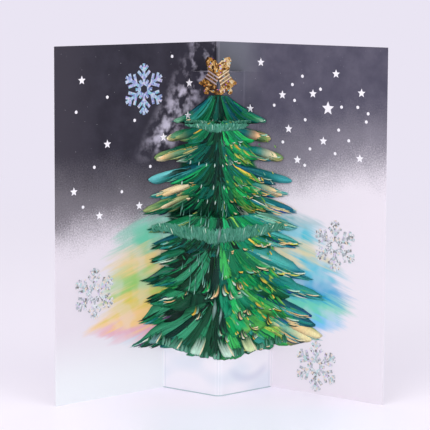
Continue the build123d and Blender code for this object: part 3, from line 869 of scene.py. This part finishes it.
def add_glint(strokes, index, side, middle, base):
    """A small white dash at the end of a tuft near the middle."""
    s, z = flow(index, side, middle, np.array([0.99]))
    length = vary(1.6, 3.0)
    t = np.linspace(0, 1, row_steps)
    path = route(s[0] + side * 0.5 * t**2, np.maximum(z[0] + length * (0.7 - t), tree_foot + 0.3))
    color = gradient([srgb(120, 190, 170), white_ink, srgb(150, 200, 190)])
    strokes.add(path, taper(vary(0.4, 0.7)), color, base + glint_layer)


def add_flecks(strokes, base):
    """Short slanted flecks, two light ones on the right for each dark one nearer the middle."""
    for number in range(fleck_count):
        light = number % 3 > 0
        s = vary(4, 36) if light else vary(-24, 8)
        z = draw.choice([vary(58, 84), vary(96, 132), vary(30, 60)])
        length = vary(0.8, 2.6)
        path = route(s + 0.8 * length * accent_t, z - length * accent_t)
        tone = choose(light_flecks if light else dark_flecks)
        width = rounded(vary(0.3, 0.9))
        strokes.add(path, width, gradient([tone * 0.8, tone]), base - 0.03)


def add_drips(strokes, base):
    """Pale drips, four left of the middle for each one on its right."""
    for number in range(drip_count):
        s = vary(-28, -5) if number % 5 else vary(2, 10)
        z = draw.choice([vary(92, 100), vary(56, 76)])
        length = vary(4, 9)
        path = route(s - 0.8 * accent_t**2, z - length * accent_t)
        color = gradient(tones((16, 80, 66), (92, 164, 144), (170, 218, 204)), [0, 0.6, 1])
        strokes.add(path, rounded(vary(0.35, 0.6)), color, base)


def add_ridge_creases_and_highlights(strokes, base):
    """Pale creases on the lowest ridge, partly the whitened fold itself and partly a painted highlight along it."""
    t = accent_t
    for s, z, length, width in ridge_creases_and_highlights:
        path = route(s - 0.8 * t + 0.3 * np.sin(5 * t), z - length * t)
        color = gradient(tones((30, 84, 70), (128, 158, 152), (48, 104, 88)), [0, 0.45, 1])
        strokes.add(path, width * np.sin(pi * np.clip(t, 0.04, 0.96)) ** 0.6, color, base)


def add_foot_pads(strokes):
    """Pale pads of several strokes along the foot, each with a cream edge on its right."""
    u = crowded(accent_steps)
    grown = np.minimum(0.25 + u, 1.0) * blunt(u, 0.8)
    last = pad_strokes - 1
    for s, height, width, color in foot_pads:
        lean = 5.5 if s > -10 else -4.0
        left = s - lean / 2
        sag = 0.0028 * s * s
        for number in range(pad_strokes):
            pad = np.array(color) * vary(0.86, 1.05)
            shift = (number / last - 0.5) * width
            foot = tree_foot + 0.4 + sag + 0.22 * abs(shift) + vary(0.0, 0.6)
            path = route(left + shift + lean * u**1.3, foot + height * vary(0.75, 1.1) * (1 - u))
            fade = gradient([srgb(16, 100, 70), pad * 0.6, pad, pad * 1.04], [0, 0.3, 0.6, 1])
            lift = print_lift + row_lift * 5 + 0.008 * number
            strokes.add(path, 0.42 * width * grown, fade, lift, pad_shades)
        z = tree_foot + 0.7 + sag + height * 0.95 * (1 - u)
        edge = route(left + width * 0.62 + lean * u**1.3, z)
        cream = gradient(tones((60, 140, 100), (250, 240, 200), (252, 246, 216)))
        strokes.add(edge, rounded(0.8)(u), cream, print_lift + row_lift * 6.4, pad_edge_shades)


def add_glow(strokes, base):
    """Patches of luminous green strokes."""
    t = accent_t
    for s, z, wide, tall, number in glow_patches:
        for _ in range(number):
            x, y = s + wide * vary(-1, 1), z + tall * vary(-1, 1)
            length = vary(4.0, 10.0)
            tone = choose(glow_inks)
            path = route(x + length * (0.45 * t + 0.3 * t**2), y - 0.6 * length * t)
            fade = gradient([luminous[3], tone * 0.8, tone, luminous[3]], [0, 0.4, 0.8, 1])
            width = taper(vary(0.4, 1.3), 2.2)
            strokes.add(path, width, fade, base - 0.02 + 0.02 * draw.random(), glow_shades)


def add_curls(strokes, base):
    """Bright curled tips, each a few strokes with dark ones under them."""
    t = accent_t
    for s, z, size in curls:
        side = -1 if s < -1 else 1
        for number in range(curl_strokes):
            shift = vary(-1.6, 1.6) * (number > 0)
            scale = size * vary(0.6, 1.1)
            x = s + shift + side * scale * (0.75 * t**2 - 0.45)
            y = z + 0.5 * shift + scale * (1.5 * (1 - t) ** 1.5 + 0.35 * np.clip(t - 0.7, 0, None))
            path = route(x, y)
            bright = choose(curl_inks) * 1.05
            strokes.add(path - [side * 0.3, 0.35], rounded(0.42 * scale), gradient([dark_ink]), base + 0.05)
            fade = gradient([srgb(14, 96, 62), bright * 0.5, bright, bright], [0, 0.4, 0.75, 1])
            strokes.add(path, rounded(vary(0.12, 0.3) * scale), fade, base + 0.07 + 0.01 * number)


def add_hem(strokes):
    """Short upright strokes along the foot of the tree, which sag towards the middle."""
    t = accent_t
    for _ in range(hem_count):
        s = vary(-44, 44)
        tall = vary(2.0, 5.0)
        foot = tree_foot + 0.2 + 0.0030 * s * s
        path = route(s + vary(-0.5, 0.5) * t + 0.03 * s * t, foot + tall * (1 - t))
        tone = choose(hem_inks)
        fade = gradient([srgb(14, 84, 58), tone * 0.7, tone], [0, 0.4, 1])
        width = rounded(vary(0.9, 2.0))
        strokes.add(path, width, fade, print_lift + row_lift * 4 + 0.01 * draw.random(), hem_shades)


def add_stars(strokes, base):
    """Five-point stars on the tree, one stroke for each point."""
    for s, z in star_spots:
        for tip in range(star_points):
            angle = 2 * pi * tip / star_points
            reach = star_reach * accent_t
            path = route(s + reach * sin(angle), z + reach * cos(angle))
            color = gradient([star_ink])
            strokes.add(path, 1.5 * (1.02 - accent_t), color, base + 0.1, star_shades)


def paint_accents():
    """Loose marks over the whole tree: flecks, drips, ridge creases partly painted as highlights, pads and hem along
    the foot, glow, curls and stars.
    """
    strokes = Strokes()
    base = print_lift + row_lift * len(rows) + accent_layer
    add_flecks(strokes, base)
    add_drips(strokes, base)
    add_ridge_creases_and_highlights(strokes, base)
    add_foot_pads(strokes)
    add_glow(strokes, base)
    add_curls(strokes, base)
    add_hem(strokes)
    add_stars(strokes, base)
    return strokes


def add_lobes(strokes, index, side, base):
    """Broad rounded blades with pale ends at the tip of an upper row."""
    for number in range(lobe_count):
        share = vary(0.88, 1.0)
        t = crowded(row_steps)
        s, z = flow(index, side, share, vary(0.3, 0.5) + vary(0.48, 0.52) * t)
        own = choose(ink_groups(index, side, 0.8))
        pale = choose(lobe_groups(index, side))
        color = gradient([own * 0.8, own, pale, pale * 1.03], [0, 0.3, vary(0.55, 0.8), 1])
        wide = vary(1.6, 2.4) if index == 0 else vary(3.2, 5.0)
        width = rounded(wide * (1.4 if index == last_row else 1.0))(t)
        lift = base + lobe_layer + 0.01 * number
        strokes.add(bent(s, z, side, 2), width, color, lift, lobe_shades)
        for _ in range(lobe_hairs):
            shift = vary(-1.1, 1.1)
            path = route(s, z + shift)
            tone = pale if draw.random() < 0.5 else own
            fade = gradient([own, tone, pale * 1.04])
            strokes.add(path, taper(vary(0.2, 0.5)), fade, base + hair_layer)


def add_feathers(strokes, index, side, base):
    """Loose thin strokes that stray past the outer tips of a lower row."""
    reach = half_reach(index, side)
    groups = [(4, emeralds), (3, dark_greens), (1.6, seas), (0.5, mints), (0.4, violets)]
    if side > 0:
        groups = [(3, cyans), (3, seas), (1, navies), (1.2, peaches), (1, mints)]
    for _ in range(feather_count):
        share = vary(0.72, 1.0)
        start = vary(0.7, 0.85)
        s, z = flow(index, side, share, np.linspace(start, 0.96 + vary(0.0, 3.5) / reach, row_steps))
        tone = choose(groups)
        root = choose(ink_groups(index, side, 0.6))
        color = gradient([root, tone * 0.8, tone], [0, 0.4, 1])
        width = taper(vary(0.4, 1.5), 2.4)
        path = bent(s, z + vary(-1.2, 1.0), side, 3)
        strokes.add(path, width, color, base + feather_layer + vary(0, 0.02), feather_shades)


def add_undercoat(strokes, index, side, outer, late, base):
    """Broad dark strokes under the tufts of half a row."""
    for _ in range(int(half_reach(index, side) * undercoat_density * (1 - outer))):
        share = outer + (1 - outer) * vary(0.0, 1.0) ** 0.9
        along = np.linspace(max(begin_of(index, row_heights[index]), late), vary(0.86, 0.96), row_steps)
        s, z = flow(index, side, share, along)
        color = choose(ink_groups(index, side, share))
        color = color * (vary(0.85, 1.0) if color.max() > pale_ink else vary(0.45, 0.8))
        width = taper(vary(1.6, 2.8))
        strokes.add(bent(s, z, side, 0), width, gradient([color]), base)


def paint_tuft(strokes, index, side, middle, half, late, dark, base):
    """One tuft of half a row: three broad blades, thin bristles over them, and a bright lip or glint at its end."""
    reach = half_reach(index, side)
    lower = index > last_upper_row
    own = choose(ink_groups(index, side, middle))
    while side > 0 and middle < 0.6 and own[0] > 0.2:
        own = choose(ink_groups(index, side, middle))
    if side < 0 and lower and middle > 0.12:
        own = choose([(1, dark_greens if dark else blade_greens)])
    tip = choose(tip_groups(index, side, middle)) if draw.random() < 0.75 else own
    end = 1.0 - vary(-0.4, 1.0) * stray[index] / reach
    fall = vary(-0.5, 1.0) * stray[index]
    if 0 < index < lobed_rows and middle > 0.8:
        end -= 0.07
    for number in range(3):
        share = np.clip(middle + half * vary(-0.5, 0.5), 0.01, 1.0)
        low = max(begin_of(index, row_heights[index] * vary(0.6, 1.0)), late)
        s, z = flow(index, side, share, np.linspace(low, end, row_steps))
        wide = (1.8 if lower else 1.4) * half * reach
        width = taper(wide, 2.6) if side < 0 or draw.random() < 0.4 else rounded(0.9 * wide)
        root = own * (0.85 if own.max() > pale_ink else 0.55)
        color = gradient([root, own, own * 1.1, tip], [0, 0.35, 0.8, 1])
        shades = deep_blade_shades if side < 0 and lower else blade_shades
        strokes.add(bent(s, z + fall, side, 6), width, color, base + blade_layer + blade_spacing * number, shades)
    density = (3.4 if side < 0 else 5) if lower else 6.5
    for _ in range(int(half * reach * density)):
        off = vary(-1, 1)
        share = np.clip(middle + half * off, 0.0, 1.0)
        low = max(begin_of(index, row_heights[index] * vary(0.25, 1.0)), late)
        rise = 1 - end * begin_of(index, blade_rise[index] * off**2)
        stop = max(end - rise * vary(0.7, 1.0), low + 0.08)
        if draw.random() < 0.4:
            stop = vary(low + 0.06, stop)
        s, z = flow(index, side, share, np.linspace(low, stop, row_steps))
        light = vary(0.75, 1.22)
        loyal = draw.random() < (0.88 if lower else 0.74)
        body = (own if loyal else choose(ink_groups(index, side, share))) * light
        finish = tip if draw.random() < 0.6 else body
        color = gradient([body * 0.8, body, body, finish], [0, 0.3, 0.7, 1])
        path = bent(s, z + fall, side, vary(2, 9))
        width = taper(vary(0.4, 1.4))
        strokes.add(path, width, color, base + bristle_layer + vary(0, 0.03), bristle_shades)
    if middle > 0.16 and draw.random() < (0.8 if side > 0 else 0.12):
        for _ in range(draw.integers(1, 3)):
            add_lip(strokes, index, side, middle + half * vary(-0.9, 0.9), end, base)
    elif middle < 0.5 and index in glint_rows:
        add_glint(strokes, index, side, middle, base)


def paint_row(index):
    """All strokes of one row: an undercoat, its tufts from the tip inwards, and pale lobes or loose feathers."""
    strokes = Strokes()
    base = print_lift + row_lift * (len(rows) - index)
    for side in (-1, 1):
        short = side < 0 and index in short_rows
        outer, late = (short_outer, short_late) if short else (0.0, 0.0)
        add_undercoat(strokes, index, side, outer, late, base)
        dark = True
        for middle, half in tuft_places(index):
            if middle >= outer:
                dark = not dark
                paint_tuft(strokes, index, side, middle, half, late, dark, base)
        if index < lobed_rows or (side > 0 and index == last_row):
            add_lobes(strokes, index, side, base)
        if index > last_smooth_row:
            add_feathers(strokes, index, side, base)
    return strokes


def paint_frost(height, reach, drop, thickness, count, base):
    """A brushed strip of frost that dips in the middle: broad soft strokes under fine pale hairs."""
    strokes = Strokes()
    soft = tones((70, 144, 118), (82, 154, 130), (62, 134, 110), (94, 164, 142))
    for number in range(count):
        broad = number < count * 0.8
        share = vary(-1, 1)
        s = reach * share
        room = thickness * (1 - 0.55 * share**2)
        sway = 0.5 * sin(0.35 * s) + 0.3 * sin(1.1 * s)
        level = height + drop * share**2 + room * vary(-0.4, 0.4) + thickness * 0.16 * sway
        length = room * vary(0.4, 0.85)
        lean = vary(-0.25, 0.25) + 0.7 * share
        t = np.linspace(-0.5, 0.5, frost_steps)
        path = route(s + lean * length * -t, level + length * -t)
        tone = choose([(1, soft)] if broad else [(5, soft), (0.25, mints), (0.8, emeralds)])
        tone = tone * vary(0.92, 1.04)
        color = gradient([tone * 1.05, tone, tone * 0.8])
        width = rounded(vary(0.7, 1.6)) if broad else taper(vary(0.25, 0.5))
        strokes.add(path, width, color, base + (0.0 if broad else vary(0.03, 0.05)), frost_shades)
    return strokes


# Surroundings, in metres and watts; each lamp is its name, place, target, size and power
floor_front = srgb(243, 237, 249)
floor_back = srgb(236, 230, 244)
backdrop_color = srgb(234, 229, 243)
world_light = 0.72
floor_half = 25.0
lamps = [
    ("key", (-0.7, -1.1, 0.9), (0, 0, 0.08), 0.9, 6.0),
    ("fill", (0.9, -0.9, 0.6), (0, 0, 0.08), 0.9, 3.5),
    ("top", (0, -0.4, 2.0), (0, -0.1, 0), 2.6, 16.0),
]


def build_floor():
    """A wide pale floor with a slight sheen, painted a little lighter in front than behind and with a bluish tint just
    in front of the card, both painted light.
    """
    mesh = bpy.data.meshes.new("floor")
    corners = [(x * floor_half, y * floor_half, 0) for x, y in ((-1, -1), (1, -1), (1, 1), (-1, 1))]
    mesh.from_pydata(corners, [], [(0, 1, 2, 3)])
    floor = bpy.data.objects.new("floor", mesh)
    bpy.context.collection.objects.link(floor)
    g = Graph("floor")
    flat, deep, _ = g.place()
    # Painted light: the floor lighter in front than behind, and a bluish pool of light just in front of the card.
    color = g.mix(g.step(deep, -40.0, 60.0), floor_front, floor_back)
    before = g.step(deep, -130.0, -80.0) * g.step(deep, -20.0, -50.0)
    before = before * (g.step(flat, -90.0, -10.0) * g.step(flat, 130.0, 50.0))
    color = g.mix(before * 0.5, color, srgb(230, 238, 250))
    floor.data.materials.append(g.finish(color, 0.32, specular=0.25))
    far = g.step(deep, 60.0, 900.0) * g.node("LightPath").outputs["Is Camera Ray"]
    pick = g.node("MixShader", far, g.shader.outputs[0], g.node("Emission", backdrop_color).outputs[0])
    g.put(g.tree.nodes["Material Output"].inputs[0], pick.outputs[0])


def area_lamp(name, place, target, size, watts):
    """A square white lamp that faces its target."""
    data = bpy.data.lights.new(name, "AREA")
    data.shape = "SQUARE"
    data.size = size
    data.energy = watts
    lamp = bpy.data.objects.new(name, data)
    lamp.location = place
    lamp.rotation_euler = (Vector(target) - Vector(place)).to_track_quat("-Z", "Y").to_euler()
    bpy.context.collection.objects.link(lamp)


def build_world():
    """Even studio light; the camera sees the backdrop's own colour."""
    world = bpy.data.worlds.new("studio")
    world.use_nodes = True
    bpy.context.scene.world = world
    tree = world.node_tree
    shown = tree.nodes["Background"]
    shown.inputs[0].default_value = (*backdrop_color, 1.0)
    shown.inputs[1].default_value = 1.0
    light = tree.nodes.new("ShaderNodeBackground")
    light.inputs[0].default_value = (1.0, 0.99, 1.0, 1.0)
    light.inputs[1].default_value = world_light
    rays = tree.nodes.new("ShaderNodeLightPath")
    pick = tree.nodes.new("ShaderNodeMixShader")
    tree.links.new(rays.outputs["Is Camera Ray"], pick.inputs[0])
    tree.links.new(light.outputs[0], pick.inputs[1])
    tree.links.new(shown.outputs[0], pick.inputs[2])
    tree.links.new(pick.outputs[0], tree.nodes["World Output"].inputs[0])


def build_camera():
    """The photograph's own view: a long lens from the front, a little above the card."""
    image_width = 430
    shift_pixels = -60
    focal_pixels = 1821.6
    yaw, pitch, roll = radians(1.874), radians(-6.198), radians(0.28)
    place = Vector((-31.94, -946.59 + depth_shift, 221.4)) / 1000
    forward = Vector((sin(yaw) * cos(pitch), cos(yaw) * cos(pitch), sin(pitch)))
    side = Vector((cos(yaw), -sin(yaw), 0.0))
    up = side.cross(forward)
    right = side * cos(roll) + up * sin(roll)
    over = up * cos(roll) - side * sin(roll)
    data = bpy.data.cameras.new("camera")
    data.sensor_width = 36.0
    data.lens = focal_pixels * data.sensor_width / image_width
    data.shift_y = shift_pixels / image_width
    data.clip_start = 0.05
    camera = bpy.data.objects.new("camera", data)
    turn = Matrix((right, over, -forward)).transposed().to_4x4()
    camera.matrix_world = Matrix.Translation(place) @ turn
    bpy.context.collection.objects.link(camera)
    bpy.context.scene.camera = camera


def paint(names, material):
    """Give CAD nodes their material."""
    for name in names:
        nodes[name].data.materials.clear()
        nodes[name].data.materials.append(material)


def main():
    sheet = printed_sheet()
    ink = brushed_ink()
    fields = ["night_sky", "dusk", "snow_clouds", "warm_wash", "cool_wash"]
    fields += [f"bough_row_{number}" for number in range(1, 10)]
    paint(["pop_up_sheet"] + [f"print_{name}" for name in fields], sheet)
    paint(["cover"], cover_board())
    paint(["print_stars", "print_snow_dots"], white_ink_print())
    paint(["bell_topper"], topper_foil())
    silver = [
        (0.0, srgb(176, 182, 190)), (0.2, srgb(205, 208, 214)), (0.38, srgb(226, 228, 232)),
        (0.54, srgb(150, 156, 160)), (0.64, srgb(232, 214, 196)), (0.74, srgb(186, 214, 216)),
        (0.84, srgb(210, 196, 226)), (0.93, srgb(128, 124, 122)),
    ]
    blue = [
        (0.0, srgb(140, 158, 206)), (0.2, srgb(170, 190, 222)), (0.4, srgb(196, 214, 232)), (0.58, srgb(128, 204, 214)),
        (0.68, srgb(214, 208, 226)), (0.82, srgb(176, 160, 220)), (0.92, srgb(112, 130, 196)),
    ]
    silver_flakes = [f"foil_snowflake_{name}" for name in ("lower_left", "upper_right", "lower_right")]
    paint(silver_flakes, glitter("silver foil", silver))
    paint(["foil_snowflake_upper_left"], glitter("blue foil", blue))

    leaf_nodes = [name for name in nodes if name.startswith("print_leaves_")]
    for index in reversed(range(len(rows))):
        piece = paint_row(index).build(f"bough_strokes_{index + 1}", ink)
        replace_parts(piece, *leaf_nodes)
    upper = paint_frost(*frost_upper, print_lift + row_lift * len(rows) + frost_layer)
    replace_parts(upper.build("frost_strokes_upper", ink), "print_frost_upper")
    lower = paint_frost(*frost_lower, print_lift + row_lift * rows_under_lower_frost + frost_layer)
    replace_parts(lower.build("frost_strokes_lower", ink), "print_frost_lower")

    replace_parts(paint_accents().build("accent_strokes", ink), *leaf_nodes)

    build_floor()
    build_world()
    for lamp in lamps:
        area_lamp(*lamp)
    build_camera()
    bpy.context.scene.view_settings.view_transform = "Standard"


main()
